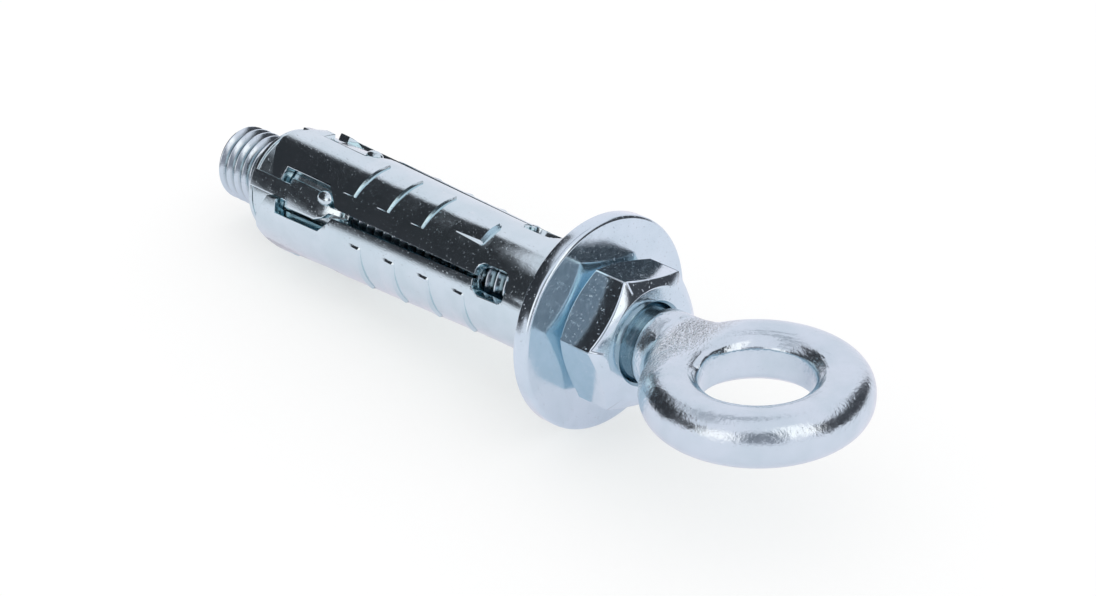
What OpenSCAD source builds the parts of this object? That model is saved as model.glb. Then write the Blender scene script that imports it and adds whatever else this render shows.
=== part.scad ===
// Eye sleeve anchor: forged eye bolt, hex nut, washer, slit expansion sleeve and keyed cone nut.
// Millimetres. Every piece is drawn along the bolt axis X, with the eye toward +X, the eye's
// flat side facing up and X = 0 on the washer's nut side. One module then lays them all down.

/* [Thread] */
// outside diameter of the bolt's thread (M8)
thread_d = 8;
// axial advance of the bolt for one turn of the nut
thread_pitch = 1.25;
// radial play between the thread's crest circle and each nut's bore
thread_play = 0.02;
// chamfer on the bolt's free end
thread_chamfer = 0.35;

/* [Eye bolt] */
// from the washer's nut side to the bolt's free end
bolt_tail = 54.65;
// free run of thread past the nut, ending in the relief
thread_lead = 0.2;
// relief groove between thread and neck: length and depth
relief_len = 1.4;
relief_depth = 0.4;
// full round neck before it flattens into the eye
neck_len = 1.1;
// distance in which the neck flattens down to the eye's thickness
neck_slope = 2.2;
// washer's nut side to the centre of the eye
eye_reach = 19.07;
// eye: outside diameter, hole diameter and thickness
eye_od = 21.64;
eye_hole_d = 10.8;
eye_t = 5.24;
// straight part of the hole's wall
eye_wall_len = 2.6;
// crest of the ring, where the hole's wide chamfer meets the outer rounding
eye_crest_d = 16.2;
// corner power of the eye's outer rounding (2 is an ellipse)
eye_power = 2.25;
// fillet between neck and eye, seen from above
eye_fillet = 3.2;

/* [Nut] */
nut_af = 12.8;
nut_h = 5.75;
// flat ring left on each end face by the chamfer
nut_face_d = 11.3;
nut_chamfer_angle = 30;
// countersink at both ends of the bore
nut_sink_d = 8.7;
// turn of the nut about the bolt
nut_turn_angle = 47.7;

/* [Washer] */
washer_od = 21.6;
washer_t = 1.7;
// radial play round the bolt
washer_play = 0.35;
washer_edge = 0.18;

/* [Sleeve] */
sleeve_d = 11.8;
sleeve_wall = 1.2;
sleeve_len = 43.25;
// plain closed collar, then the slit part opens out
collar_len = 11.3;
// outside diameter at the opened end
sleeve_end_d = 13.82;
slot_count = 4;
// angle of the first slot from the horizontal
slot_angle = 63;
// window: length, width and distance from the open end
window_len = 6.5;
window_w = 4.94;
window_from_end = 3.55;
// the window narrows to the slit over this length
window_neck = 1.9;
// slit width at the window and at the hole
slit_wide = 1.05;
slit_narrow = 0.36;
// hole that ends each slit: length, width, corner radius, distance from the sleeve's front
hole_len = 4.4;
hole_w = 3.2;
hole_corner = 1.0;
hole_from_front = 6.7;
// slot through the open end
end_slot_w = 2.12;
// how far each panel's corners are cut back beside the end slot, and over what width
corner_cut = 2.15;
corner_w = 2.75;
// barbs: spacing, ramp length, height and angle covered
barb_pitch = 4.93;
barb_ramp = 2.05;
barb_h = 0.22;
barb_angle = 47;
// washer to the nearest barb of the four-barb panels
barb_from_washer = 12.1;
// wide tab that keeps the sleeve from turning in the wall
tab_ramp = 4.4;
tab_h = 0.48;
tab_angle = 29;

/* [Cone nut] */
// small end behind the washer's nut side
cone_front = 32.4;
cone_len = 14.4;
cone_front_d = 9.5;
cone_back_d = 11.3;
// rim at the back end
cone_rim_d = 11.7;
cone_rim_t = 0.55;
// keys: top diameter, narrow part in the end slot, wide part in the window
key_d = 12.3;
key_play = 0.1;
key_block_w = 3.3;
key_block_len = 4.4;
// thin nose of the key that reaches from the block into the start of the slit
key_nose_w = 0.8;
key_nose_len = 3.0;
// gap between the key's shoulder and the window's end
key_back_gap = 0.75;

/* [Hidden] */
$fn = 72;
eps = 0.01;

thread_r = thread_d / 2;
thread_root_r = thread_r - 0.6 * thread_pitch;
bore_r = thread_r + thread_play;
relief_r = thread_r - relief_depth;
neck_u = nut_h + thread_lead + relief_len - relief_depth / 2;
flat_u = neck_u + neck_len + neck_slope;

eye_r = eye_od / 2;
eye_half_t = eye_t / 2;
eye_crest_r = eye_crest_d / 2;
eye_hole_r = eye_hole_d / 2;

sleeve_r = sleeve_d / 2;
sleeve_end_r = sleeve_end_d / 2;
sleeve_u = -washer_t - sleeve_len;
flare_u = -washer_t - collar_len;
flare = (sleeve_end_r - sleeve_r) / (flare_u - sleeve_u);
slot_step = 360 / slot_count;
window_u = sleeve_u + window_from_end;
hole_u = -washer_t - hole_from_front - hole_len / 2;
hole_end_u = hole_u - hole_len / 2;

key_u = window_u + key_back_gap;
cone_back_u = -cone_front - cone_len;

// The anchor lies on the washer's back edge and on the lowest point of the sleeve's open end.
foot_turn = slot_angle + 2 * slot_step - 270;
rest_tilt = min([for (t = [10 : 1 : 45]) foot_tilt(t)]);
rest_lift = (washer_t - washer_edge) * sin(rest_tilt) + washer_od / 2 * cos(rest_tilt);
tip_r = thread_r - thread_chamfer;
end_back = -bolt_tail * cos(rest_tilt) - tip_r * sin(rest_tilt);
end_front = (eye_reach + eye_r) * cos(rest_tilt);
rest_shift = -(end_back + end_front) / 2;

function sleeve_out(u) = u > flare_u ? sleeve_r : sleeve_r + flare * (flare_u - u);

// end of a panel at a sideways distance w from the slot's middle
function panel_end(w) = w < end_slot_w / 2 + corner_w
    ? sleeve_u + corner_cut * (1 - 0.81 * (w - end_slot_w / 2) / corner_w)
    : sleeve_u + corner_cut * 0.19 * max(0, 1 - (w - end_slot_w / 2 - corner_w));

// tilt at which the panel's end, t degrees from the slot, meets the floor with the washer
function foot_tilt(t) = let (
        u = panel_end(sleeve_end_r * sin(t)),
        depth = sleeve_out(u) * cos(foot_turn + t))
    atan((washer_od / 2 - depth) / (washer_edge - washer_t - u));

// half of the eye's section: hole wall, chamfer up to the crest, outer rounding
function round_pt(t) = [
    eye_crest_r + (eye_r - eye_crest_r) * pow(cos(t), 2 / eye_power),
    eye_half_t * pow(sin(t), 2 / eye_power)];
eye_upper = concat(
    [[eye_hole_r, eye_wall_len / 2],
     [eye_crest_r - 0.5, eye_half_t - 0.14],
     [eye_crest_r, eye_half_t]],
    [for (t = [84 : -12 : 12]) round_pt(t)],
    [[eye_r - 0.07, 0.55]],
    [[eye_r, 0.12]]);
eye_lower = [for (i = [len(eye_upper) - 1 : -1 : 0]) [eye_upper[i][0], -eye_upper[i][1]]];

module turned() rotate([90, 0, 90]) children();

module lie() translate([rest_shift, 0, rest_lift]) rotate([0, -rest_tilt, 0]) children();

module at_slots() {
    for (i = [0 : slot_count - 1])
        rotate([slot_angle + i * slot_step, 0, 0]) children();
}

// a flat outline in X and sideways distance, pushed outward through the sleeve's wall
module through_wall(from_r) {
    translate([0, from_r, 0])
        rotate([-90, 0, 0])
            linear_extrude(height = sleeve_d)
                children();
}

// Eye bolt

// one groove of the thread, toward the eye from u
function groove(u) = [
    [thread_r, u],
    [thread_root_r, u + 0.38 * thread_pitch],
    [thread_root_r, u + 0.5 * thread_pitch],
    [thread_r, u + 0.88 * thread_pitch]];

// the tail that stands out behind the cone shows the thread as rings
module stud() {
    first_u = -bolt_tail + thread_chamfer + 0.12 * thread_pitch;
    grooves = floor((cone_back_u - first_u) / thread_pitch);
    turned() rotate_extrude() polygon(concat(
        [[0, -bolt_tail],
         [tip_r, -bolt_tail],
         [thread_r, -bolt_tail + thread_chamfer]],
        [for (i = [0 : grooves - 1], p = groove(first_u + i * thread_pitch)) p],
        [[thread_r, nut_h + thread_lead],
         [relief_r, nut_h + thread_lead + relief_depth],
         [relief_r, neck_u - relief_depth],
         [thread_r, neck_u],
         [thread_r, neck_u + neck_len],
         [0, neck_u + neck_len]]));
}

module neck() {
    intersection() {
        translate([neck_u + neck_len - 0.2, 0, 0])
            rotate([0, 90, 0])
                cylinder(r = thread_r, h = neck_slope + 1.4);
        rotate([90, 0, 0])
            linear_extrude(height = thread_d * 2, center = true)
                polygon([
                    [neck_u, thread_r + 0.1],
                    [neck_u + neck_len, thread_r],
                    [neck_u + neck_len + neck_slope * 0.5, (thread_r + eye_half_t) / 2],
                    [flat_u, eye_half_t - 0.05],
                    [flat_u + 1.4, eye_half_t - 0.15],
                    [flat_u + 1.4, -eye_half_t + 0.15],
                    [flat_u, -eye_half_t + 0.05],
                    [neck_u + neck_len + neck_slope * 0.5, -(thread_r + eye_half_t) / 2],
                    [neck_u + neck_len, -thread_r],
                    [neck_u, -thread_r - 0.1]]);
    }
}

// thin web that rounds the inside corners between neck and eye
module web() {
    side = eye_half_t * 0.72;
    reach = eye_r + eye_fillet;
    cut_y = thread_r + eye_fillet;
    cut_u = eye_reach - sqrt(reach * reach - cut_y * cut_y);
    touch = eye_r / reach;
    difference() {
        linear_extrude(height = 2 * side, center = true)
            polygon([
                [cut_u, thread_r - 0.3],
                [cut_u, cut_y],
                [eye_reach - (eye_reach - cut_u) * touch, cut_y * touch],
                [eye_reach - eye_crest_r, 1],
                [eye_reach - eye_crest_r, -1],
                [eye_reach - (eye_reach - cut_u) * touch, -cut_y * touch],
                [cut_u, -cut_y],
                [cut_u, -thread_r + 0.3]]);
        for (s = [-1, 1])
            translate([cut_u, s * cut_y, -eye_t])
                cylinder(r = eye_fillet, h = 2 * eye_t);
    }
}

module eye() {
    translate([eye_reach, 0, 0])
        rotate_extrude()
            polygon(concat(eye_upper, eye_lower));
}

module eye_bolt() {
    color([0.78, 0.82, 0.88]) lie() {
        stud();
        neck();
        web();
        eye();
    }
}

// Hex nut

module hex_nut() {
    corner_r = nut_af / sqrt(3);
    drop = (corner_r - nut_face_d / 2) * tan(nut_chamfer_angle);
    sink = (nut_sink_d / 2 - bore_r) * 0.8;
    color([0.74, 0.79, 0.86]) lie() turned() difference() {
        intersection() {
            rotate([0, 0, nut_turn_angle])
                cylinder(r = corner_r, h = nut_h, $fn = 6);
            rotate_extrude() polygon([
                [0, 0],
                [nut_face_d / 2, 0],
                [corner_r + eps, drop],
                [corner_r + eps, nut_h - drop],
                [nut_face_d / 2, nut_h],
                [0, nut_h]]);
        }
        rotate_extrude() polygon([
            [0, -1],
            [nut_sink_d / 2, -1],
            [nut_sink_d / 2, 0],
            [bore_r, sink],
            [bore_r, nut_h - sink],
            [nut_sink_d / 2, nut_h],
            [nut_sink_d / 2, nut_h + 1],
            [0, nut_h + 1]]);
    }
}

// Washer

module washer() {
    hole_r = thread_r + washer_play;
    rim_r = washer_od / 2;
    color([0.80, 0.84, 0.90]) lie() turned() rotate_extrude() polygon([
        [hole_r, -washer_t],
        [rim_r - washer_edge, -washer_t],
        [rim_r, -washer_t + washer_edge],
        [rim_r, -washer_edge],
        [rim_r - washer_edge, 0],
        [hole_r + washer_edge, 0],
        [hole_r, -washer_edge]]);
}

// Sleeve

module sleeve_wall_body() {
    turned() rotate_extrude() polygon([
        [sleeve_r - sleeve_wall, -washer_t],
        [sleeve_r, -washer_t],
        [sleeve_r, flare_u],
        [sleeve_end_r, sleeve_u],
        [sleeve_end_r - sleeve_wall, sleeve_u],
        [sleeve_r - sleeve_wall, flare_u]]);
}

// wedge that rises toward the washer and ends in a step at u
module barb(u, ramp, h, mid, span) {
    root = sleeve_wall * 0.4;
    turned() rotate([0, 0, mid - span / 2]) rotate_extrude(angle = span) polygon([
        [sleeve_out(u) - root, u],
        [sleeve_out(u) + h, u],
        [sleeve_out(u - ramp) + 0.02, u - ramp],
        [sleeve_out(u - ramp) - root, u - ramp]]);
}

module barbs() {
    for (i = [0 : slot_count - 1]) {
        mid = slot_angle + (i + 0.5) * slot_step;
        first = -washer_t - barb_from_washer;
        if (i % 2 == 1) {
            for (k = [0 : 3])
                barb(first - k * barb_pitch, barb_ramp, barb_h, mid, barb_angle);
        } else {
            barb(first, tab_ramp, tab_h, mid, tab_angle);
            for (k = [1 : 3])
                barb(first - (k + 0.52) * barb_pitch, barb_ramp, barb_h, mid, barb_angle);
        }
    }
}

// one slot: open end with cut-back corners, window, tapering slit and end hole
module slot_cut() {
    half = window_w / 2;
    win_end = window_u + window_len;
    slit_u = win_end + window_neck;
    end_half = end_slot_w / 2;
    far = end_half + corner_w;
    past = sleeve_u - 1;
    through_wall(sleeve_r * 0.5) polygon([
        [window_u, end_half],
        [window_u, half],
        [win_end, half],
        [win_end + window_neck * 0.7, half * 0.5],
        [slit_u, slit_wide / 2],
        [hole_end_u + hole_corner, slit_narrow / 2],
        [hole_end_u + hole_corner, -slit_narrow / 2],
        [slit_u, -slit_wide / 2],
        [win_end + window_neck * 0.7, -half * 0.5],
        [win_end, -half],
        [window_u, -half],
        [window_u, -end_half],
        [sleeve_u + corner_cut, -end_half],
        [sleeve_u + corner_cut * 0.19, -far],
        [sleeve_u, -far - 1],
        [past, -far - 1],
        [past, far + 1],
        [sleeve_u, far + 1],
        [sleeve_u + corner_cut * 0.19, far],
        [sleeve_u + corner_cut, end_half]]);
    translate([hole_u, sleeve_r * 0.5 + sleeve_d / 2, 0]) {
        cube([hole_len - 2 * hole_corner, sleeve_d, hole_w], center = true);
        cube([hole_len, sleeve_d, hole_w - 2 * hole_corner], center = true);
        for (a = [-1, 1], b = [-1, 1])
            translate([a * (hole_len / 2 - hole_corner), 0, b * (hole_w / 2 - hole_corner)])
                rotate([90, 0, 0])
                    cylinder(r = hole_corner, h = sleeve_d, center = true);
    }
}

module sleeve() {
    color([0.76, 0.80, 0.87]) lie() difference() {
        union() {
            sleeve_wall_body();
            barbs();
        }
        at_slots() slot_cut();
    }
}

// Cone nut

module cone_body() {
    turned() rotate_extrude() polygon([
        [bore_r, cone_back_u],
        [cone_rim_d / 2 - 0.2, cone_back_u],
        [cone_rim_d / 2, cone_back_u + 0.2],
        [cone_rim_d / 2, cone_back_u + cone_rim_t],
        [cone_back_d / 2, cone_back_u + cone_rim_t],
        [cone_front_d / 2, -cone_front],
        [bore_r, -cone_front]]);
}

// narrow part in the end slot, wide part with its shoulder in the window, nose toward the slit
module key() {
    low = cone_front_d / 2 - 0.3;
    high = key_d / 2 - low;
    narrow = end_slot_w - 2 * key_play;
    translate([cone_back_u + cone_rim_t, low, -narrow / 2])
        cube([key_u - cone_back_u - cone_rim_t + eps, high, narrow]);
    translate([key_u, low, -key_block_w / 2])
        cube([key_block_len, high, key_block_w]);
    translate([key_u + key_block_len - eps, low, -key_nose_w / 2])
        cube([key_nose_len, high, key_nose_w]);
}

module cone_nut() {
    color([0.70, 0.76, 0.82]) lie() {
        cone_body();
        intersection() {
            at_slots() key();
            turned() translate([0, 0, cone_back_u]) cylinder(r = key_d / 2, h = cone_len);
        }
    }
}

eye_bolt();
hex_nut();
washer();
sleeve();
cone_nut();
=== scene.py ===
# %% [markdown]
# # An eye sleeve anchor
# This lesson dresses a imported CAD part: a forged eye bolt with its nut and washer, and the slit
# steel sleeve and cone nut that hold it in a wall. The CAD model fixes every size and place. Here
# each piece is modelled again with the rounded edges, thread, forging and plating that CAD left out.

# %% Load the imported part
import math
import bmesh
import bpy
from mathutils import Matrix, Vector


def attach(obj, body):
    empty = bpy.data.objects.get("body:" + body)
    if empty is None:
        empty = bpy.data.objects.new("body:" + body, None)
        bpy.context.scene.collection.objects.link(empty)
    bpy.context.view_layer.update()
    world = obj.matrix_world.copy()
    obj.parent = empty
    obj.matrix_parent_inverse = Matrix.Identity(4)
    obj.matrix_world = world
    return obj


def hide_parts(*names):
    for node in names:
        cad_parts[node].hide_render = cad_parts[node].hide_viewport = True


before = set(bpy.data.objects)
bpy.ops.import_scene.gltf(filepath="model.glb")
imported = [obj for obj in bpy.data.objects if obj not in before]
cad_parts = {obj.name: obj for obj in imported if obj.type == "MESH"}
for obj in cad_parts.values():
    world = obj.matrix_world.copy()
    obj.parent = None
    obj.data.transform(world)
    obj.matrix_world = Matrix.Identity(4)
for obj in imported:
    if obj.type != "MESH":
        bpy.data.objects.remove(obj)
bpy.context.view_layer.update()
print("CAD nodes:", sorted(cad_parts))

# %% [markdown]
# ## A bench to work on
# The real anchor is easiest to measure along its bolt, so every piece is modelled on a bench frame
# in millimetres: X runs along the bolt toward the eye, X = 0 is the washer's nut side, and Z is the
# way the flat of the eye faces. One matrix, LIE, then tips the finished mesh by the few degrees at
# which the anchor rests on its washer and turns millimetres into metres.

# %% The bench frame and its way down to the floor
REST_TILT = math.radians(5.2317319)
REST_LIFT = 10.893608
REST_SHIFT = 12.494837
LIE = (
    Matrix.Scale(0.001, 4)
    @ Matrix.Translation((REST_SHIFT, 0, REST_LIFT))
    @ Matrix.Rotation(-REST_TILT, 4, "Y")
)
print("bench origin sits at", [round(c, 5) for c in LIE.translation])

# %% [markdown]
# ## Finishing a mesh
# Each piece ends the same way: doubled points are merged, normals are turned outward, the mesh is
# laid down by LIE, smooth shading is set with sharp edges kept, and the piece rides on its CAD body
# and stands in for its CAD node.


# %% A helper that lays a mesh down and hands it to its body
def lay_down(bm, name, body, node, sharp_deg=32, turn_out=True):
    bmesh.ops.remove_doubles(bm, verts=bm.verts, dist=0.0008)
    if turn_out:
        bmesh.ops.recalc_face_normals(bm, faces=bm.faces)
    bm.transform(LIE)
    mesh = bpy.data.meshes.new(name)
    bm.to_mesh(mesh)
    bm.free()
    mesh.shade_smooth()
    mesh.set_sharp_from_angle(angle=math.radians(sharp_deg))
    piece = bpy.data.objects.new(name, mesh)
    bpy.context.scene.collection.objects.link(piece)
    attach(piece, body)
    if node:
        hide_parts(node)
    print(name, "has", len(mesh.polygons), "faces and rides on", body)
    return piece


# %% [markdown]
# ## Turning on a lathe
# Stud, nut, washer and cone are turned parts. On a lathe a profile is swept about the bolt axis,
# and bmesh.ops.spin does just that. The profile is drawn as pairs of place along the bolt and radius.


# %% A helper that turns a profile
def turn(bm, profile, steps, closed=True):
    points = [bm.verts.new((u, r, 0)) for u, r in profile]
    lines = [bm.edges.new(pair) for pair in zip(points, points[1:])]
    if closed:
        lines.append(bm.edges.new((points[-1], points[0])))
    bmesh.ops.spin(
        bm, geom=points + lines, cent=(0, 0, 0), axis=(1, 0, 0),
        angle=2 * math.pi, steps=steps, use_merge=True,
    )
    bmesh.ops.remove_doubles(bm, verts=bm.verts, dist=0.0005)


def edges_sharper_than(bm, degrees):
    limit = math.radians(degrees)
    return [
        e for e in bm.edges
        if len(e.link_faces) == 2 and e.calc_face_angle(0) > limit
    ]


def even_faces(piece):
    even = piece.modifiers.new("even_faces", "WEIGHTED_NORMAL")
    even.keep_sharp = True


def soften(bm, edges, width, segments=3):
    bmesh.ops.bevel(
        bm, geom=edges, offset=width, segments=segments, profile=0.5,
        affect="EDGES", material=-1, clamp_overlap=False,
    )


# %% [markdown]
# ## The threaded stud
# An M8 thread is rolled, not cut: its crests are round and its roots run in one long helix. Spin
# takes a small step along the axis with each step round it, which makes it a screw. The profile
# covers exactly one pitch, so after a full turn it meets itself and the seam can be merged.

# %% Screw the thread profile along the bolt
PITCH = 1.25
CREST_R = 3.99
ROOT_R = 3.34
TAIL_U = -54.65
THREAD_STEPS = 44
THREAD_END_U = 7.4
thread = bmesh.new()
tooth = [
    (0.00, ROOT_R), (0.16, ROOT_R), (0.53, CREST_R - 0.06), (0.60, CREST_R),
    (0.70, CREST_R), (0.77, CREST_R - 0.06), (1.14, ROOT_R), (PITCH, ROOT_R),
]
start_u = TAIL_U - 1.5 * PITCH
tooth_points = [thread.verts.new((start_u + u, r, 0)) for u, r in tooth]
tooth_lines = [thread.edges.new(pair) for pair in zip(tooth_points, tooth_points[1:])]
thread_turns = math.ceil((THREAD_END_U - start_u) / PITCH) + 1
bmesh.ops.spin(
    thread, geom=tooth_points + tooth_lines, cent=(0, 0, 0), axis=(1, 0, 0),
    dvec=(PITCH / THREAD_STEPS, 0, 0), angle=2 * math.pi * thread_turns,
    steps=THREAD_STEPS * thread_turns,
)
bmesh.ops.remove_doubles(thread, verts=thread.verts, dist=0.002)
print("thread turns:", thread_turns)

# %% [markdown]
# The free end of a bolt is chamfered before rolling, so the last turns sink away. At the other end
# the thread runs out into a hollow groove, the relief behind the neck. Both are made by setting the
# radius from the place along the bolt, and two flat cuts then trim the screw to length. Each point
# also notes how deep it lies in the thread, and that value paints shade into the plating colour:
# painted shade down in the roots and in the hollow relief, strongest inside the sleeve.

# %% Chamfer the tip, run the thread out and trim the ends
TIP_R = 3.63
RELIEF_R = 3.6
RELIEF_U = 6.25
RELIEF_EDGE_R = 3.95
RELIEF_CURVE = 0.24
# Painted shade level for the hollow relief.
RELIEF_SHADE = 0.7
RUN_OUT_U = 3.9
RUN_OUT = 1.0
# Where the thread lies inside the sleeve, and how much stronger the painted shade is there.
HIDDEN_FROM_U = -33
HIDDEN_TO_U = -1.7
HIDDEN_SHADE_GAIN = 4
# Painted shade: this attribute darkens the plating colour in the roots, the relief and inside the
# sleeve.
depth = thread.verts.layers.float.new("depth")
for v in thread.verts:
    r = math.hypot(v.co.y, v.co.z)
    v[depth] = (CREST_R - r) / (CREST_R - ROOT_R)
    # Inside the sleeve the painted shade is made stronger, even on the crests' flanks.
    if HIDDEN_FROM_U < v.co.x < HIDDEN_TO_U:
        v[depth] = min(1.0, HIDDEN_SHADE_GAIN * v[depth])
    limit = TIP_R + max(0.0, v.co.x - TAIL_U)
    wanted = min(r, limit)
    hollow = RELIEF_R + RELIEF_CURVE * (v.co.x - RELIEF_U) ** 2
    fade = min(1.0, max(0.0, (v.co.x - RUN_OUT_U) / RUN_OUT))
    wanted += (min(hollow, RELIEF_EDGE_R) - wanted) * fade
    # The hollow relief gets a fixed level of painted shade.
    v[depth] += (RELIEF_SHADE - v[depth]) * fade
    v.co.y *= wanted / r
    v.co.z *= wanted / r
for place, way in ((TAIL_U, -1), (THREAD_END_U, 1)):
    cut = bmesh.ops.bisect_plane(
        thread, geom=thread.verts[:] + thread.edges[:] + thread.faces[:], dist=0.0001,
        plane_co=(place, 0, 0), plane_no=(way, 0, 0), clear_outer=True,
    )
    rim = [e for e in cut["geom_cut"] if isinstance(e, bmesh.types.BMEdge)]
    bmesh.ops.holes_fill(thread, edges=[e for e in rim if e.is_boundary], sides=0)
stud = lay_down(thread, "threaded_stud", "bolt", None, sharp_deg=43)

# %% [markdown]
# ## The forged eye
# The eye was forged hot from the bar: a short round neck is squeezed flat and flows into a ring.
# Two simple forms are made first, a spun ring and a neck that is extruded ring by ring and pressed
# wider and thinner. A voxel remesh melts them into one skin, and a little smoothing gives the
# fillets that hot steel has where the two meet.

# %% Spin the ring of the eye
EYE_U = 19.07
EYE_R = 10.80
EYE_HOLE_R = 5.4
EYE_HALF_T = 2.62
EYE_CREST_R = 8.1
EYE_WALL = 1.5
EYE_POWER = 2.25
forged = bmesh.new()
half = [
    (EYE_HOLE_R, 0.0), (EYE_HOLE_R, EYE_WALL), (EYE_HOLE_R + 0.08, EYE_WALL + 0.08),
    (EYE_CREST_R - 1.7, EYE_HALF_T - 0.32), (EYE_CREST_R - 0.8, EYE_HALF_T - 0.09),
    (EYE_CREST_R, EYE_HALF_T),
]
for k in range(1, 15):
    t = math.radians(90 - 6 * k)
    half.append((
        EYE_CREST_R + (EYE_R - EYE_CREST_R) * math.cos(t) ** (2 / EYE_POWER),
        EYE_HALF_T * math.sin(t) ** (2 / EYE_POWER),
    ))
half.append((EYE_R, 0.0))
section = half + [(r, -z) for r, z in reversed(half[1:-1])]
ring_points = [forged.verts.new((EYE_U + r, 0, z)) for r, z in section]
ring_lines = [
    forged.edges.new((ring_points[i - 1], ring_points[i])) for i in range(len(ring_points))
]
bmesh.ops.spin(
    forged, geom=ring_points + ring_lines, cent=(EYE_U, 0, 0), axis=(0, 0, 1),
    angle=2 * math.pi, steps=160, use_merge=True,
)
print("ring section has", len(section), "points")

# %% Press the neck from round to flat
NECK_U = 7.15
NECK_R = 4.02
press = [
    (NECK_U - 0.25, NECK_R - 0.35, NECK_R - 0.35), (NECK_U, NECK_R, NECK_R),
    (7.7, 4.03, 4.06), (8.3, 4.06, 4.05), (8.9, 4.2, 3.97), (9.5, 4.75, 3.66),
    (10.1, 5.75, 3.24), (10.7, 6.8, 2.9), (11.3, 7.6, 2.68), (12.0, 8.2, 2.52), (12.6, 8.3, 2.3),
]
neck_ring = bmesh.ops.create_circle(forged, segments=72, radius=1.0, cap_ends=True)["verts"]
bmesh.ops.rotate(
    forged, verts=neck_ring, cent=(0, 0, 0), matrix=Matrix.Rotation(math.radians(90), 3, "Y")
)
first_u, first_y, first_z = press[0]
bmesh.ops.scale(forged, verts=neck_ring, vec=(1, first_y, first_z))
bmesh.ops.translate(forged, verts=neck_ring, vec=(first_u, 0, 0))
neck_face = next(f for f in forged.faces if len(f.verts) == 72)
bmesh.ops.reverse_faces(forged, faces=[neck_face])
front = neck_face
for (u0, y0, z0), (u1, y1, z1) in zip(press, press[1:]):
    front = bmesh.ops.extrude_discrete_faces(forged, faces=[front])["faces"][0]
    bmesh.ops.translate(forged, verts=front.verts, vec=(u1 - u0, 0, 0))
    bmesh.ops.scale(forged, verts=front.verts, vec=(1, y1 / y0, z1 / z0))
print("neck pressed in", len(press), "rings")

# %% [markdown]
# Where the metal met itself behind the hole, forging left a lap: a soft roll that starts on the rim
# and sinks into the chamfer. A small circle spun through part of a turn, with a drift, lays it there.

# %% Lay the forging lap on the inner rim
LAP_R = 5.5
LAP_Z = 1.7
LAP_SIZE = 0.3
LAP_FROM = 28
LAP_SWEEP = 66
LAP_DRIFT = (-0.018, 0, 0.003)
lap = bmesh.ops.create_circle(forged, segments=16, radius=LAP_SIZE, cap_ends=True)["verts"]
lap_face = next(f for f in lap[0].link_faces if len(f.verts) == 16)
bmesh.ops.rotate(
    forged, verts=lap, cent=(0, 0, 0), matrix=Matrix.Rotation(math.radians(90), 3, "X")
)
bmesh.ops.translate(forged, verts=lap, vec=(EYE_U - LAP_R, 0, LAP_Z))
bmesh.ops.rotate(
    forged, verts=lap, cent=(EYE_U, 0, 0), matrix=Matrix.Rotation(math.radians(LAP_FROM), 3, "Z")
)
bmesh.ops.spin(
    forged, geom=[lap_face], cent=(EYE_U, 0, 0), axis=(0, 0, 1), dvec=LAP_DRIFT,
    angle=math.radians(-LAP_SWEEP), steps=40,
)
print("lap laid along the rim")

# %% Melt ring and neck into one forged skin
bmesh.ops.holes_fill(forged, edges=[e for e in forged.edges if e.is_boundary], sides=0)
eye = lay_down(forged, "forged_eye", "bolt", "eye_bolt", sharp_deg=180)
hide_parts("eye_bolt")
melt = eye.modifiers.new("melt", "REMESH")
melt.mode = "VOXEL"
melt.voxel_size = 0.00014
melt.use_smooth_shade = True
relax = eye.modifiers.new("relax", "SMOOTH")
relax.factor = 0.5
relax.iterations = 9
print("forged eye melted at", melt.voxel_size * 1000, "mm")

# %% [markdown]
# ## The hex nut
# A nut is turned as a round blank first: both faces get a wide chamfer and the bore a countersink.
# The six flats are cut afterwards, which is why the chamfer leaves a curved edge on every flat.
# The same order works here: spin the blank, then bisect it by six planes and close each cut. Tumbling
# in the plating drum has rounded the corners more than the rims, so they get the wider bevel.

# %% Turn the blank and cut six flats
NUT_H = 5.75
NUT_AF = 12.8
NUT_FACE_R = 5.65
NUT_SINK_R = 4.28
NUT_BORE_R = 4.02
NUT_TURN = 47.7
NUT_SINK = 0.3
NUT_CHAMFER = 30
NUT_CORNER = 0.26
NUT_RIM = 0.15
blank_r = NUT_AF / math.sqrt(3) + 0.1
drop = (blank_r - NUT_FACE_R) * math.tan(math.radians(NUT_CHAMFER))
nut = bmesh.new()
turn(nut, [
    (0, NUT_SINK_R), (0, NUT_FACE_R), (drop, blank_r), (NUT_H - drop, blank_r),
    (NUT_H, NUT_FACE_R), (NUT_H, NUT_SINK_R), (NUT_H - NUT_SINK, NUT_BORE_R), (NUT_SINK, NUT_BORE_R),
], 144)
for k in range(6):
    a = math.radians(NUT_TURN + 30 + 60 * k)
    out = Vector((0, math.cos(a), math.sin(a)))
    bmesh.ops.bisect_plane(
        nut, geom=nut.verts[:] + nut.edges[:] + nut.faces[:], dist=0.0001,
        plane_co=out * (NUT_AF / 2), plane_no=out, clear_outer=True,
    )
    bmesh.ops.holes_fill(nut, edges=[e for e in nut.edges if e.is_boundary], sides=0)
bmesh.ops.recalc_face_normals(nut, faces=nut.faces)
corners = [e for e in edges_sharper_than(nut, 50) if abs(e.verts[0].co.x - e.verts[1].co.x) > 2]
corners = [e for e in corners if math.hypot(e.verts[0].co.y, e.verts[0].co.z) > NUT_FACE_R]
soften(nut, corners, NUT_CORNER)
rims = [
    e for e in edges_sharper_than(nut, 12)
    if math.hypot(e.verts[0].co.y, e.verts[0].co.z) > NUT_FACE_R - 0.1
]
soften(nut, rims, NUT_RIM)
hex_nut = lay_down(nut, "hex_nut_dressed", "nut", "hex_nut", sharp_deg=40)
even_faces(hex_nut)

# %% [markdown]
# ## The washer
# A washer is punched from sheet: the punch rolls one edge over and leaves the others crisp. The ring
# is turned, the rolled edge gets a wide bevel and all the others a small one.

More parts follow.
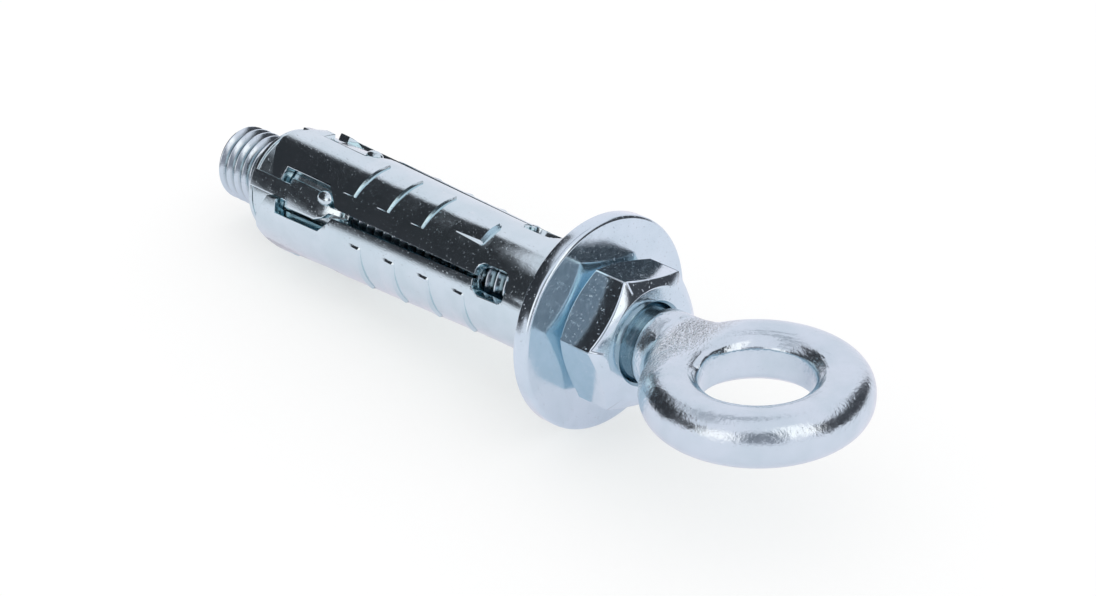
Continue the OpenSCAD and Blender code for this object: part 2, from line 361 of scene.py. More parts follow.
# %% Turn the washer and round its edges
WASHER_R = 10.8
WASHER_T = 1.7
WASHER_HOLE_R = 4.35
ROLLED_EDGE = 0.42
PUNCHED_EDGE = 0.2
ring = bmesh.new()
turn(ring, [
    (0, WASHER_HOLE_R), (0, WASHER_R), (-WASHER_T, WASHER_R), (-WASHER_T, WASHER_HOLE_R),
], 192)
bmesh.ops.recalc_face_normals(ring, faces=ring.faces)
rolled = [
    e for e in edges_sharper_than(ring, 40)
    if abs(e.verts[0].co.x) + abs(e.verts[1].co.x) < 0.01
    and math.hypot(e.verts[0].co.y, e.verts[0].co.z) > WASHER_R - 0.01
]
soften(ring, rolled, ROLLED_EDGE, 5)
soften(ring, edges_sharper_than(ring, 40), PUNCHED_EDGE, 4)
washer = lay_down(ring, "washer_dressed", "shield", "washer", sharp_deg=40)
even_faces(washer)

# %% [markdown]
# ## The expansion sleeve
# The real sleeve starts as flat sheet: slots, windows and holes are punched, barbs are pressed up
# and the strip is rolled into a tube that flares at its open end. The lesson keeps that order. One
# quarter lies flat with a slot along its middle, X along the bolt and Y around it in millimetres.

# %% Score a flat quarter of the blank
SLEEVE_R = 5.9
SLEEVE_WALL = 1.2
FRONT_U = -1.7
END_U = -44.95
FLARE_U = -13.0
FLARE = 0.0316
BARB_RAMP = 2.05
BARB_H = 0.23
BARB_HALF = 23.5
CRISP_STEP = 0.06
WORN_STEP = 0.18
TAB_RAMP = 4.4
TAB_H = 0.42
TAB_HALF = 12.5
TAB_FOOT = 32.3
TAB_SLANT = 0.6
CRISP_BARB = (BARB_RAMP, BARB_H, BARB_HALF, CRISP_STEP)
WORN_BARB = (BARB_RAMP, BARB_H, BARB_HALF, WORN_STEP)
TAB = (TAB_RAMP, TAB_H, TAB_HALF, WORN_STEP)
SWELL = 0.10
SWELL_RUN = 4.6
MIDDLE = 45
EVEN_COLUMN = 4.5
CRISP_FOOT = 20.9
WORN_FOOT = 19.6
ROW_FROM_U = -12.4
ROW = 0.49
SHEET_EDGE = 0.12
QUARTERS = ((63, 1), (153, -1), (243, 1), (333, -1))
tab_side = [(-13.8, TAB), (-21.29, CRISP_BARB), (-26.22, CRISP_BARB), (-31.15, CRISP_BARB)]
barb_side = [(u, WORN_BARB) for u in (-13.8, -18.73, -23.66, -28.57)]


def around(degrees):
    return math.radians(degrees) * SLEEVE_R


def score(bm, place, normal):
    bmesh.ops.bisect_plane(
        bm, geom=bm.verts[:] + bm.edges[:] + bm.faces[:], dist=0.00001,
        plane_co=place, plane_no=normal,
    )


flat = bmesh.new()
bmesh.ops.create_grid(flat, x_segments=1, y_segments=1, size=0.5)
bmesh.ops.scale(flat, verts=flat.verts, vec=(FRONT_U - END_U, around(90), 1))
bmesh.ops.translate(flat, verts=flat.verts, vec=((FRONT_U + END_U) / 2, 0, 0))
columns = {EVEN_COLUMN * k for k in (1, 2, 3, 4, 5, 6, 8, 9)}
columns |= {MIDDLE - BARB_HALF, MIDDLE - TAB_HALF, TAB_FOOT}
for degrees in sorted(columns):
    score(flat, (0, around(degrees), 0), (0, 1, 0))
    score(flat, (0, -around(degrees), 0), (0, 1, 0))
score(flat, (0, around(CRISP_FOOT), 0), (0, 1, 0))
score(flat, (0, -around(WORN_FOOT), 0), (0, 1, 0))
rows = {FLARE_U}
for k in range(44):
    rows.add(round(ROW_FROM_U - ROW * k, 4))
for place, (ramp, _, _, step) in tab_side + barb_side:
    rows |= {round(place, 4), round(place + step, 4), round(place - ramp, 4)}
for u in sorted(rows):
    score(flat, (u, 0, 0), (1, 0, 0))
print("flat quarter scored into", len(flat.faces), "faces")

# %% [markdown]
# A punch has a convex outline, so punching needs no boolean: the sheet is cut along each side of
# the outline and the faces that lie inside all of them drop out. The slot is a row of such punches,
# from the open end with its cut-back corners to the rounded hole that stops the slit from tearing.


# %% Punch the slot, the window, the slit and the hole
def punch(bm, outline):
    low_u = min(u for u, y in outline)
    high_u = max(u for u, y in outline)
    low_y = min(y for u, y in outline)
    high_y = max(y for u, y in outline)
    sides = []
    for (u0, y0), (u1, y1) in zip(outline, outline[1:] + outline[:1]):
        sides.append((Vector((u0, y0, 0)), Vector((y1 - y0, u0 - u1, 0)).normalized()))

    def near():
        found = []
        for f in bm.faces:
            us = [v.co.x for v in f.verts]
            ys = [v.co.y for v in f.verts]
            if min(us) < high_u and max(us) > low_u and min(ys) < high_y and max(ys) > low_y:
                found.append(f)
        return found

    for place, normal in sides:
        faces = near()
        edges = {e for f in faces for e in f.edges}
        verts = {v for f in faces for v in f.verts}
        bmesh.ops.bisect_plane(
            bm, geom=[*verts, *edges, *faces], dist=0.00001, plane_co=place, plane_no=normal,
        )
    waste = []
    for f in near():
        middle = f.calc_center_median()
        if all((middle - place).dot(normal) < 0 for place, normal in sides):
            waste.append(f)
    bmesh.ops.delete(bm, geom=waste, context="FACES")


def both_sides(bm, outline):
    punch(bm, outline)
    punch(bm, [(u, -y) for u, y in reversed(outline)])


SLOT_Y = around(8.9)
WINDOW_U = -41.4
WINDOW_END_U = -34.9
WINDOW_Y = around(21.5)
NECK_END_U = -33.0
SLIT_WIDE_Y = around(4.55)
SLIT_THIN_Y = around(1.72)
HOLE_U = -10.6
HOLE_HALF_U = 2.2
HOLE_HALF_Y = 1.62
HOLE_CORNER = 1.0
corner_u = END_U + 2.15
knee_u = END_U + 0.41
knee_y = around(33)
past_u = END_U - 1
middle_y = around(MIDDLE)
both_sides(flat, [(past_u, 0), (corner_u, 0), (corner_u, SLOT_Y), (past_u, SLOT_Y)])
both_sides(flat, [(past_u, SLOT_Y), (corner_u, SLOT_Y), (knee_u, knee_y), (past_u, knee_y)])
both_sides(flat, [(past_u, knee_y), (knee_u, knee_y), (END_U, middle_y), (past_u, middle_y)])
punch(flat, [(corner_u, -SLOT_Y), (WINDOW_U, -SLOT_Y), (WINDOW_U, SLOT_Y), (corner_u, SLOT_Y)])
punch(flat, [
    (WINDOW_U, -WINDOW_Y), (WINDOW_END_U, -WINDOW_Y), (WINDOW_END_U, WINDOW_Y), (WINDOW_U, WINDOW_Y),
])
taper_u = WINDOW_END_U + 1.33
taper_y = around(10.6)
punch(flat, [
    (WINDOW_END_U, -WINDOW_Y), (taper_u, -taper_y), (taper_u, taper_y), (WINDOW_END_U, WINDOW_Y),
])
punch(flat, [
    (taper_u, -taper_y), (NECK_END_U, -SLIT_WIDE_Y), (NECK_END_U, SLIT_WIDE_Y), (taper_u, taper_y),
])
hole_end_u = HOLE_U - HOLE_HALF_U
punch(flat, [
    (NECK_END_U, -SLIT_WIDE_Y), (hole_end_u + 0.6, -SLIT_THIN_Y),
    (hole_end_u + 0.6, SLIT_THIN_Y), (NECK_END_U, SLIT_WIDE_Y),
])
hole = []
for corner, (sign_u, sign_y) in enumerate(((1, 1), (-1, 1), (-1, -1), (1, -1))):
    for k in range(6):
        a = math.radians(90 * corner + 18 * k)
        hole.append((
            HOLE_U + sign_u * (HOLE_HALF_U - HOLE_CORNER) + HOLE_CORNER * math.cos(a),
            sign_y * (HOLE_HALF_Y - HOLE_CORNER) + HOLE_CORNER * math.sin(a),
        ))
punch(flat, hole)
print("punched quarter has", len(flat.faces), "faces")


# %% [markdown]
# Barbs are pressed up from inside: each rises along a ramp and ends in a step that faces the washer,
# so it bites when the anchor is pulled. Panels on one side of a slot carry four barbs, and those on
# the other carry a wide tab and three barbs that sit half a step further back. The foot of the tab's
# side wall moves out as the tab rises, so that the wall keeps one slant.

# %% Press up the barbs
def lift_at(u, degrees):
    from_middle = MIDDLE - abs(degrees)
    lift = 0.0
    for place, (ramp, height, half_angle, _) in tab_side if degrees > 0 else barb_side:
        if from_middle <= half_angle + 0.01 and place - ramp <= u <= place + 0.001:
            lift += height * (u - place + ramp) / ramp
        run = (u - place) / SWELL_RUN + 1
        if from_middle < half_angle and 0 < run <= 1.0003:
            lift += SWELL * run ** 2 * math.cos(math.pi / 2 * from_middle / half_angle) ** 2
    return lift


for v in flat.verts:
    degrees = math.degrees(v.co.y / SLEEVE_R)
    v.co.z = lift_at(v.co.x, degrees)
    if abs(degrees - TAB_FOOT) < 0.01:
        v.co.y -= TAB_SLANT * lift_at(v.co.x, MIDDLE - TAB_HALF)
print("barbs pressed to", round(max(v.co.z for v in flat.verts), 2), "mm")

# %% [markdown]
# Rolling wraps Y round the axis. Four quarters make the tube, and every second one is mirrored so
# that panels of the same kind meet. The sheet then gets its thickness by an extrusion toward the
# axis, which leaves the inside smooth, and the punched edges are bevelled so that they catch light.


# %% Roll four quarters and give the sheet its thickness
def outer_r(u):
    return SLEEVE_R + FLARE * max(0.0, FLARE_U - u)


tube = bmesh.new()
pattern = bpy.data.meshes.new("flat_quarter")
flat.to_mesh(pattern)
flat.free()
for degrees, side in QUARTERS:
    known = len(tube.verts)
    tube.from_mesh(pattern)
    tube.verts.ensure_lookup_table()
    for v in tube.verts[known:]:
        u, y, raised = v.co
        a = math.radians(degrees) + side * y / SLEEVE_R
        r = outer_r(u) + raised
        v.co = (u, r * math.cos(a), r * math.sin(a))
bpy.data.meshes.remove(pattern)
bmesh.ops.remove_doubles(tube, verts=tube.verts, dist=0.002)
rim = [e for e in tube.edges if e.is_boundary]
skin = bmesh.ops.extrude_face_region(tube, geom=tube.faces[:], use_keep_orig=True)
for v in skin["geom"]:
    if isinstance(v, bmesh.types.BMVert):
        r = math.hypot(v.co.y, v.co.z)
        inner = (outer_r(v.co.x) - SLEEVE_WALL) / r
        v.co.y *= inner
        v.co.z *= inner
bmesh.ops.recalc_face_normals(tube, faces=tube.faces)
soften(tube, rim, SHEET_EDGE)

# %% [markdown]
# Beside each window one edge was nipped over to keep the cone's key from slipping out. It shows as a
# small round bead: a sphere sunk in the edge, with its underside pressed flat above the key.

# %% Nip the window edges
NIP_U = -34.95
NIP_LOW_R = 6.22
NIP_SIZE = (1.1, 0.68, 0.76)
NIP_TURN = 10
for degrees, side in QUARTERS:
    bead = bmesh.ops.create_uvsphere(tube, u_segments=28, v_segments=16, radius=1.0)["verts"]
    bmesh.ops.scale(tube, verts=bead, vec=NIP_SIZE)
    bmesh.ops.translate(tube, verts=bead, vec=(NIP_U, NIP_LOW_R, 0))
    for v in bead:
        v.co.y = max(v.co.y, NIP_LOW_R)
    bmesh.ops.rotate(
        tube, verts=bead, cent=(0, 0, 0),
        matrix=Matrix.Rotation(math.radians(degrees + side * NIP_TURN), 3, "X"),
    )
sleeve = lay_down(tube, "sleeve_dressed", "shield", "sleeve", sharp_deg=28)

# %% [markdown]
# ## The cone nut
# The cone is a turned nut whose taper forces the panels apart. Four keys stand on it: a narrow one
# runs in each end slot, widens to a block in the window and slopes to a thin nose in the slit, so the
# cone can't turn with the bolt. Their tops are round, so each starts as a grid that gets its width and
# height station by station and is rolled about the axis.

# %% Turn the cone and set its keys
CONE_BACK_U = -46.8
CONE_FRONT_U = -32.4
CONE_BORE_R = 4.02
CONE_FRONT_R = 4.75
CONE_BACK_R = 5.65
CONE_RIM_R = 5.85
CONE_RIM = 0.55
CONE_EDGE = 0.12
KEY_U = -40.65
KEY_R = 6.15
KEY_LOW_R = 4.5
SLOT_KEY = 1.92
WINDOW_KEY = 3.3
cone = bmesh.new()
turn(cone, [
    (CONE_FRONT_U, CONE_BORE_R), (CONE_FRONT_U, CONE_FRONT_R), (CONE_BACK_U + CONE_RIM, CONE_BACK_R),
    (CONE_BACK_U + CONE_RIM, CONE_RIM_R), (CONE_BACK_U, CONE_RIM_R), (CONE_BACK_U, CONE_BORE_R),
], 120)
bmesh.ops.recalc_face_normals(cone, faces=cone.faces)
soften(cone, edges_sharper_than(cone, 30), CONE_EDGE)
narrow_key = [(CONE_BACK_U + 0.4, SLOT_KEY, KEY_R), (KEY_U + 0.3, SLOT_KEY, KEY_R)]
wide_key = [
    (KEY_U, WINDOW_KEY, KEY_R), (KEY_U + 4.7, 3.1, KEY_R), (KEY_U + 5.6, 2.2, 6.0),
    (KEY_U + 6.3, 0.72, 5.75), (KEY_U + 7.5, 0.66, 5.2),
]
for degrees, _ in QUARTERS:
    for stations in (narrow_key, wide_key):
        last = len(stations) - 1
        top = bmesh.ops.create_grid(cone, x_segments=last, y_segments=10, size=0.5)["verts"]
        for v in top:
            u, width, r = stations[round((v.co.x + 0.5) * last)]
            a = math.radians(degrees) + v.co.y * width / r
            v.co = (u, r * math.cos(a), r * math.sin(a))
        faces = list({f for v in top for f in v.link_faces})
        outline = [e for e in {e for f in faces for e in f.edges} if e.is_boundary]
        sunk = bmesh.ops.extrude_face_region(cone, geom=faces, use_keep_orig=True)["geom"]
        bmesh.ops.scale(
            cone, verts=[v for v in sunk if isinstance(v, bmesh.types.BMVert)],
            vec=(1, KEY_LOW_R / KEY_R, KEY_LOW_R / KEY_R),
        )
        bmesh.ops.recalc_face_normals(cone, faces=cone.faces)
        soften(cone, outline, CONE_EDGE)
cone_nut = lay_down(cone, "cone_nut_dressed", "bolt", "cone_nut", sharp_deg=40)

# %% [markdown]
# ## Bright zinc plate
# All pieces were plated with bright zinc: a mirror-like bluish metal over steel that still shows
# what lies under it. So one recipe serves all: a metal with a blue tint that drifts a little, a low
# roughness that drifts too, and bump for the grain of each process. Object coordinates times 1000
# give millimetres, so every scale below reads as marks per millimetre.


# %% A helper that mixes a plating material
def zinc(name, tints, roughness, grain, pits_mm=0.008):
    material = bpy.data.materials.new(name)
    material.use_nodes = True
    nodes = material.node_tree.nodes
    links = material.node_tree.links
    shader = nodes["Principled BSDF"]
    shader.inputs["Metallic"].default_value = 1.0
    place = nodes.new("ShaderNodeTexCoord")
    mm = nodes.new("ShaderNodeMapping")
    mm.inputs["Scale"].default_value = (1000, 1000, 1000)
    links.new(place.outputs["Object"], mm.inputs["Vector"])

    def noise(scale, detail=3.0, stretch=None):
        texture = nodes.new("ShaderNodeTexNoise")
        texture.inputs["Scale"].default_value = scale
        texture.inputs["Detail"].default_value = detail
        source = mm.outputs["Vector"]
        if stretch:
            pull = nodes.new("ShaderNodeMapping")
            pull.inputs["Scale"].default_value = stretch
            links.new(source, pull.inputs["Vector"])
            source = pull.outputs["Vector"]
        links.new(source, texture.inputs["Vector"])
        return texture.outputs["Fac"]

    drift = nodes.new("ShaderNodeValToRGB")
    drift.color_ramp.elements[0].position = 0.35
    drift.color_ramp.elements[1].position = 0.65
    drift.color_ramp.elements[0].color = (*tints[0], 1)
    drift.color_ramp.elements[1].color = (*tints[1], 1)
    links.new(noise(0.35), drift.inputs["Fac"])
    links.new(drift.outputs["Color"], shader.inputs["Base Color"])
    gloss = nodes.new("ShaderNodeMapRange")
    gloss.inputs["From Min"].default_value = 0.3
    gloss.inputs["From Max"].default_value = 0.7
    gloss.inputs["To Min"].default_value = roughness[0]
    gloss.inputs["To Max"].default_value = roughness[1]
    links.new(noise(1.3), gloss.inputs["Value"])
    links.new(gloss.outputs["Result"], shader.inputs["Roughness"])
    pit = nodes.new("ShaderNodeMapRange")
    pit.inputs["From Min"].default_value = 0.68
    pit.inputs["From Max"].default_value = 0.76
    links.new(noise(4.5, 1.0), pit.inputs["Value"])
    pits = nodes.new("ShaderNodeBump")
    pits.inputs["Strength"].default_value = 1.0
    pits.inputs["Distance"].default_value = pits_mm * 0.001
    pits.invert = True
    links.new(pit.outputs["Result"], pits.inputs["Height"])
    bumped = pits.outputs["Normal"]
    for scale, depth_mm, stretch in grain:
        bump = nodes.new("ShaderNodeBump")
        bump.inputs["Strength"].default_value = 1.0
        bump.inputs["Distance"].default_value = depth_mm * 0.001
        links.new(noise(scale, 4.0, stretch), bump.inputs["Height"])
        links.new(bumped, bump.inputs["Normal"])
        bumped = bump.outputs["Normal"]
    links.new(bumped, shader.inputs["Normal"])
    print("mixed", name)
    return material


def paint(piece, material):
    piece.data.materials.clear()
    piece.data.materials.append(material)


# %% [markdown]
# Each piece keeps the marks of its making: rolled sheet has fine lines along the tube, the washer
# the grain of its face, the forging soft lumps, and the thread almost nothing but its own shine. The
# blue differs a little from piece to piece, so there are three of it.

# %% Plate every piece
BLUE = ((0.56, 0.695, 0.755), (0.61, 0.735, 0.80))
SEA_BLUE = ((0.57, 0.722, 0.762), (0.62, 0.765, 0.808))
SKY_BLUE = ((0.575, 0.722, 0.79), (0.625, 0.765, 0.835))
sheet_zinc = zinc(
    "zinc_on_sheet", SEA_BLUE, (0.10, 0.17), [(9, 0.004, (0.25, 1, 1)), (1.1, 0.008, None)], 0.010,
)
face_zinc = zinc("zinc_on_washer", SKY_BLUE, (0.12, 0.20), [(7, 0.004, None), (1.0, 0.010, None)], 0.016)
nut_zinc = zinc("zinc_on_nut", SKY_BLUE, (0.08, 0.15), [(8, 0.003, None), (0.8, 0.008, None)], 0.016)
stud_zinc = zinc("zinc_on_thread", BLUE, (0.13, 0.22), [(6, 0.004, None)])
cone_zinc = zinc("zinc_on_cone", SEA_BLUE, (0.14, 0.24), [(6, 0.008, None), (1.4, 0.008, None)], 0.016)
eye_zinc = zinc("zinc_on_forging", BLUE, (0.14, 0.24), [(5.0, 0.010, None), (2.2, 0.044, None)])
# The attribute from the stud mixes a dark teal into the base colour: painted shade in the thread roots,
# the relief and inside the sleeve.
stud_nodes = stud_zinc.node_tree.nodes
in_roots = stud_nodes.new("ShaderNodeAttribute")
in_roots.attribute_name = "depth"
shade = stud_nodes.new("ShaderNodeMapRange")
shade.inputs["From Min"].default_value = 0.35
shade.inputs["To Max"].default_value = 0.7
stud_zinc.node_tree.links.new(in_roots.outputs["Fac"], shade.inputs["Value"])
root_shade_paint = stud_nodes.new("ShaderNodeMix")
root_shade_paint.data_type = "RGBA"
root_shade_paint.inputs["B"].default_value = (0.16, 0.23, 0.25, 1)
stud_shader = stud_nodes["Principled BSDF"]
plain_tint = stud_shader.inputs["Base Color"].links[0].from_socket
stud_zinc.node_tree.links.new(shade.outputs["Result"], root_shade_paint.inputs["Factor"])
stud_zinc.node_tree.links.new(plain_tint, root_shade_paint.inputs["A"])
stud_zinc.node_tree.links.new(root_shade_paint.outputs["Result"], stud_shader.inputs["Base Color"])
paint(sleeve, sheet_zinc)
paint(washer, face_zinc)
paint(hex_nut, nut_zinc)
paint(stud, stud_zinc)
paint(cone_nut, cone_zinc)
paint(eye, eye_zinc)

# %% [markdown]
# Where the neck was squeezed flat, the die left a skin of fine pebbles. It gets its own bump and a
# lighter base colour, a painted sheen, and a ramp along the bolt lets both fade into the smooth round
# neck on one side and the ring on the other.

# %% Pebbles on the pressed neck
eye_nodes = eye_zinc.node_tree.nodes
eye_links = eye_zinc.node_tree.links
shader = eye_nodes["Principled BSDF"]
before = shader.inputs["Normal"].links[0].from_socket
object_place = eye_nodes.new("ShaderNodeTexCoord")
in_mm = eye_nodes.new("ShaderNodeMapping")
in_mm.inputs["Scale"].default_value = (1000, 1000, 1000)
eye_links.new(object_place.outputs["Object"], in_mm.inputs["Vector"])
along = eye_nodes.new("ShaderNodeSeparateXYZ")
eye_links.new(in_mm.outputs["Vector"], along.inputs["Vector"])
fade_in = eye_nodes.new("ShaderNodeMapRange")
fade_in.inputs["From Min"].default_value = 21.4
fade_in.inputs["From Max"].default_value = 22.1
eye_links.new(along.outputs["X"], fade_in.inputs["Value"])
fade_out = eye_nodes.new("ShaderNodeMapRange")
fade_out.inputs["From Min"].default_value = 25.0
fade_out.inputs["From Max"].default_value = 23.6
eye_links.new(along.outputs["X"], fade_out.inputs["Value"])
zone = eye_nodes.new("ShaderNodeMath")
zone.operation = "MULTIPLY"
eye_links.new(fade_in.outputs["Result"], zone.inputs[0])
eye_links.new(fade_out.outputs["Result"], zone.inputs[1])
pebbles = eye_nodes.new("ShaderNodeTexNoise")
pebbles.inputs["Scale"].default_value = 7.5
pebbles.inputs["Detail"].default_value = 2.0
squeeze = eye_nodes.new("ShaderNodeMapping")
squeeze.inputs["Scale"].default_value = (1, 0.45, 0.8)
eye_links.new(in_mm.outputs["Vector"], squeeze.inputs["Vector"])
eye_links.new(squeeze.outputs["Vector"], pebbles.inputs["Vector"])
relief = eye_nodes.new("ShaderNodeMath")
relief.operation = "MULTIPLY"
eye_links.new(pebbles.outputs["Fac"], relief.inputs[0])
eye_links.new(zone.outputs["Value"], relief.inputs[1])
pebbled = eye_nodes.new("ShaderNodeBump")
pebbled.inputs["Strength"].default_value = 1.0
pebbled.inputs["Distance"].default_value = 0.00027
eye_links.new(relief.outputs["Value"], pebbled.inputs["Height"])
eye_links.new(before, pebbled.inputs["Normal"])
# Painted sheen: the base colour turns lighter over the pebbled neck.
painted_neck_sheen = eye_nodes.new("ShaderNodeMix")
painted_neck_sheen.data_type = "RGBA"
painted_neck_sheen.inputs["B"].default_value = (0.74, 0.86, 0.91, 1)
eye_links.new(zone.outputs["Value"], painted_neck_sheen.inputs["Factor"])
eye_links.new(shader.inputs["Base Color"].links[0].from_socket, painted_neck_sheen.inputs["A"])
eye_links.new(painted_neck_sheen.outputs["Result"], shader.inputs["Base Color"])
print("pebbles laid on the neck")

# %% [markdown]
# The inner rim was trimmed by a punch, and its fine lines run round the hole. For them the texture
# is read in polar coordinates about the middle of the ring: far along the radius, short round it.

# %% Lines round the inner rim
RING_CENTRE = 1000 * (LIE @ Vector((EYE_U, 0, 0)))
from_centre = eye_nodes.new("ShaderNodeVectorMath")
from_centre.operation = "SUBTRACT"
from_centre.inputs[1].default_value = RING_CENTRE
eye_links.new(in_mm.outputs["Vector"], from_centre.inputs[0])
split = eye_nodes.new("ShaderNodeSeparateXYZ")
eye_links.new(from_centre.outputs["Vector"], split.inputs["Vector"])
flat_place = eye_nodes.new("ShaderNodeCombineXYZ")
eye_links.new(split.outputs["X"], flat_place.inputs["X"])
eye_links.new(split.outputs["Y"], flat_place.inputs["Y"])
radius = eye_nodes.new("ShaderNodeVectorMath")
radius.operation = "LENGTH"
eye_links.new(flat_place.outputs["Vector"], radius.inputs[0])
angle = eye_nodes.new("ShaderNodeMath")
angle.operation = "ARCTAN2"
eye_links.new(split.outputs["Y"], angle.inputs[0])
eye_links.new(split.outputs["X"], angle.inputs[1])
polar = eye_nodes.new("ShaderNodeCombineXYZ")
eye_links.new(radius.outputs["Value"], polar.inputs["X"])
eye_links.new(angle.outputs["Value"], polar.inputs["Y"])
lines_texture = eye_nodes.new("ShaderNodeTexNoise")
lines_texture.inputs["Scale"].default_value = 4.2
lines_texture.inputs["Detail"].default_value = 3.0
eye_links.new(polar.outputs["Vector"], lines_texture.inputs["Vector"])
rim_zone = eye_nodes.new("ShaderNodeMapRange")
rim_zone.inputs["From Min"].default_value = 7.9
rim_zone.inputs["From Max"].default_value = 7.0
eye_links.new(radius.outputs["Value"], rim_zone.inputs["Value"])
rim_lines = eye_nodes.new("ShaderNodeMath")
rim_lines.operation = "MULTIPLY"
eye_links.new(lines_texture.outputs["Fac"], rim_lines.inputs[0])
eye_links.new(rim_zone.outputs["Result"], rim_lines.inputs[1])
lined = eye_nodes.new("ShaderNodeBump")
lined.inputs["Strength"].default_value = 1.0
lined.inputs["Distance"].default_value = 0.00005
eye_links.new(rim_lines.outputs["Value"], lined.inputs["Height"])
eye_links.new(pebbled.outputs["Normal"], lined.inputs["Normal"])
eye_links.new(lined.outputs["Normal"], shader.inputs["Normal"])
print("lines laid round the rim")

# %% [markdown]
# ## The studio
# The anchor lies on a white sweep. A mirror-like metal shows its surroundings more than its own
# colour, so most of the light is plain white all round, and the dark tones come from black cards
# that stand outside the picture, as a product photographer would place them.

# %% Floor, world and lamps
scene = bpy.context.scene
floor_mesh = bmesh.new()
bmesh.ops.create_grid(floor_mesh, x_segments=1, y_segments=1, size=3.0)
floor_data = bpy.data.meshes.new("floor")
floor_mesh.to_mesh(floor_data)
floor_mesh.free()
floor = bpy.data.objects.new("floor", floor_data)
scene.collection.objects.link(floor)
paper = bpy.data.materials.new("paper")
paper.use_nodes = True
paper_shader = paper.node_tree.nodes["Principled BSDF"]
paper_shader.inputs["Base Color"].default_value = (0.46, 0.50, 0.465, 1)
paper_shader.inputs["Roughness"].default_value = 0.9
paper_shader.inputs["Specular IOR Level"].default_value = 0.0


def seen_directly(tree, shown, otherwise, socket):
    rays = tree.nodes.new("ShaderNodeLightPath")
    seen = tree.nodes.new("ShaderNodeMath")
    seen.operation = "MAXIMUM"
    tree.links.new(rays.outputs["Is Camera Ray"], seen.inputs[0])
    tree.links.new(rays.outputs["Is Glossy Ray"], seen.inputs[1])
    seen_too = tree.nodes.new("ShaderNodeMath")
    seen_too.operation = "MAXIMUM"
    tree.links.new(seen.outputs["Value"], seen_too.inputs[0])
    tree.links.new(rays.outputs["Is Transmission Ray"], seen_too.inputs[1])
    level = tree.nodes.new("ShaderNodeMapRange")
    level.inputs["To Min"].default_value = otherwise
    level.inputs["To Max"].default_value = shown
    tree.links.new(seen_too.outputs["Value"], level.inputs["Value"])
    tree.links.new(level.outputs["Result"], socket)


def white_to_camera(tree, tint, socket):
    rays = tree.nodes.new("ShaderNodeLightPath")
    mix = tree.nodes.new("ShaderNodeMix")
    mix.data_type = "RGBA"
    mix.inputs["A"].default_value = (*tint, 1)
    mix.inputs["B"].default_value = (1, 1, 1, 1)
    tree.links.new(rays.outputs["Is Camera Ray"], mix.inputs["Factor"])
    tree.links.new(mix.outputs["Result"], socket)


seen_directly(paper.node_tree, 0.56, 0.0, paper_shader.inputs["Emission Strength"])
white_to_camera(paper.node_tree, (1.0, 0.86, 0.98), paper_shader.inputs["Emission Color"])
floor_data.materials.append(paper)

world = bpy.data.worlds.new("studio")
scene.world = world
world.use_nodes = True
backdrop = world.node_tree.nodes["Background"]
backdrop.inputs["Strength"].default_value = 1.0
white_to_camera(world.node_tree, (1.0, 0.92, 0.99), backdrop.inputs["Color"])
print("world is white to the camera and a little warm where it lights the metal")

# %% [markdown]
# Each card is a strip of a sphere round the object, given by the directions it covers. Real cards are
# out of focus in a reflection, so an attribute lets each one fade toward its edges. The left cards
# make the black band on the sleeve and nut, the right one the dark edges on the far side, a grey one
# stands where the photographer's camera would be, and a pale one hangs overhead. Two bright panels
# give the highlights.


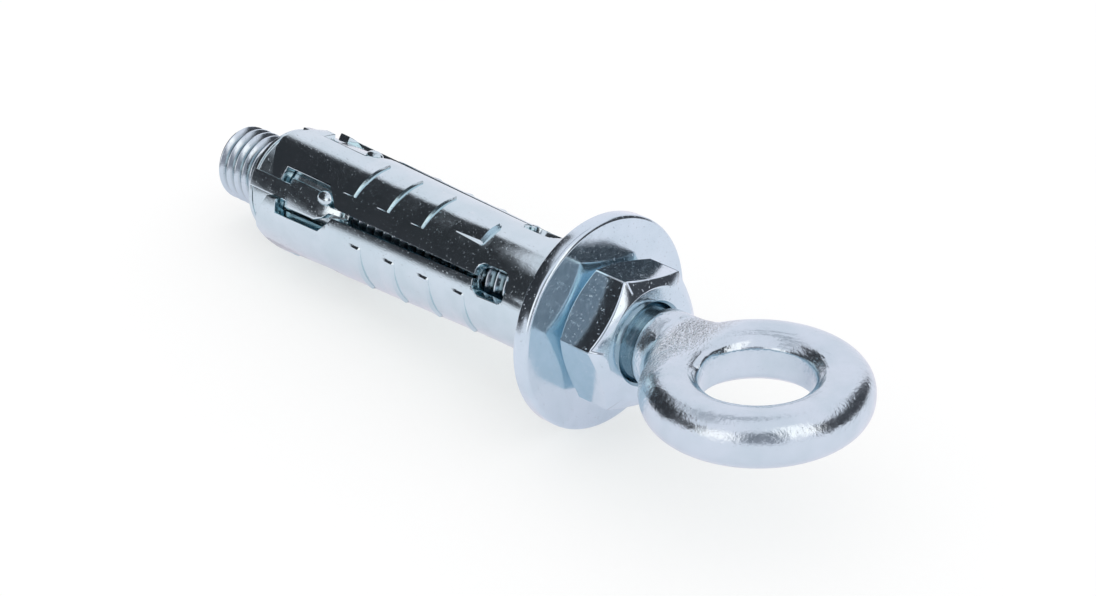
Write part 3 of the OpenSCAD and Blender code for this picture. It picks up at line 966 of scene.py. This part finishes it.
# %% Cards and panels outside the picture
def card(name, turned, raised, soft, tone, glow=0.0, away=0.8):
    bm = bmesh.new()
    rows = [raised[0] + (raised[1] - raised[0]) * k / 24 for k in range(25)]
    points = [
        bm.verts.new((away * math.cos(math.radians(a)), 0, away * math.sin(math.radians(a))))
        for a in rows
    ]
    lines = [bm.edges.new(pair) for pair in zip(points, points[1:])]
    bmesh.ops.rotate(
        bm, verts=points, cent=(0, 0, 0), matrix=Matrix.Rotation(math.radians(turned[0]), 3, "Z"),
    )
    bmesh.ops.spin(
        bm, geom=points + lines, cent=(0, 0, 0), axis=(0, 0, 1),
        angle=math.radians(turned[1] - turned[0]), steps=48,
    )
    cover = bm.verts.layers.float.new("cover")
    for v in bm.verts:
        along = (math.degrees(math.atan2(v.co.y, v.co.x)) - turned[0] + 90) % 360 - 90
        height = math.degrees(math.asin(v.co.z / away))
        inside = (along, turned[1] - turned[0] - along, height - raised[0], raised[1] - height)
        shown = 1.0
        for inward, width in zip(inside, soft):
            if width:
                near = min(1.0, max(0.0, inward / width))
                shown *= near * near * (3 - 2 * near)
        v[cover] = shown
    bmesh.ops.translate(bm, verts=bm.verts, vec=(0, 0, 0.01))
    data = bpy.data.meshes.new(name)
    bm.to_mesh(data)
    bm.free()
    piece = bpy.data.objects.new(name, data)
    scene.collection.objects.link(piece)
    stock = bpy.data.materials.new(name)
    stock.use_nodes = True
    stock_shader = stock.node_tree.nodes["Principled BSDF"]
    stock_shader.inputs["Base Color"].default_value = (tone, tone, tone * 1.1, 1)
    stock_shader.inputs["Roughness"].default_value = 1.0
    stock_shader.inputs["Specular IOR Level"].default_value = 0.0
    stock_shader.inputs["Emission Color"].default_value = (1.0, 0.88, 0.86, 1)
    stock_shader.inputs["Emission Strength"].default_value = glow
    covered = stock.node_tree.nodes.new("ShaderNodeAttribute")
    covered.attribute_name = "cover"
    stock.node_tree.links.new(covered.outputs["Fac"], stock_shader.inputs["Alpha"])
    data.materials.append(stock)
    piece.visible_camera = False
    piece.visible_diffuse = False
    piece.visible_shadow = False
    return piece


card("left_card", (158, 236), (-3, 53), (6, 3, 0, 7), 0.065, away=0.2)
card("left_side_card", (226, 258), (4, 40), (5, 8, 6, 10), 0.07)
card("left_low_card", (190, 246), (-9.4, 6), (8, 3, 9, 3), 0.06, away=0.06)
card("right_card", (10, 98), (0, 44), (4, 8, 3, 9), 0.11)
card("camera_card", (292, 340), (0, 56), (10, 10, 8, 10), 0.48)
card("overhead_card", (120, 240), (52, 72), (14, 14, 6, 10), 0.80)
card("left_panel", (256, 292), (2, 42), (6, 6, 4, 8), 0.0, 1.55)
card("right_panel", (338, 374), (14, 74), (6, 5, 6, 10), 0.0, 1.6)
print("cards and panels hung")

# %% [markdown]
# ## The camera
# The picture was taken with a long lens from the eye's side, a little more than thirty degrees above
# the floor. The place and the lens come from matching circles and edges of the real object.

# %% Set the camera
camera_data = bpy.data.cameras.new("camera")
camera_data.sensor_fit = "HORIZONTAL"
camera_data.sensor_width = 36
camera_data.lens = 90.711
camera = bpy.data.objects.new("camera", camera_data)
camera.location = (0.163911, -0.162408, 0.150965)
camera.rotation_euler = [math.radians(a) for a in (58.22290, -1.78335, 45.56450)]
scene.collection.objects.link(camera)
scene.camera = camera
scene.cycles.max_bounces = 16
scene.cycles.glossy_bounces = 16
scene.view_settings.view_transform = "Standard"
print("camera set")
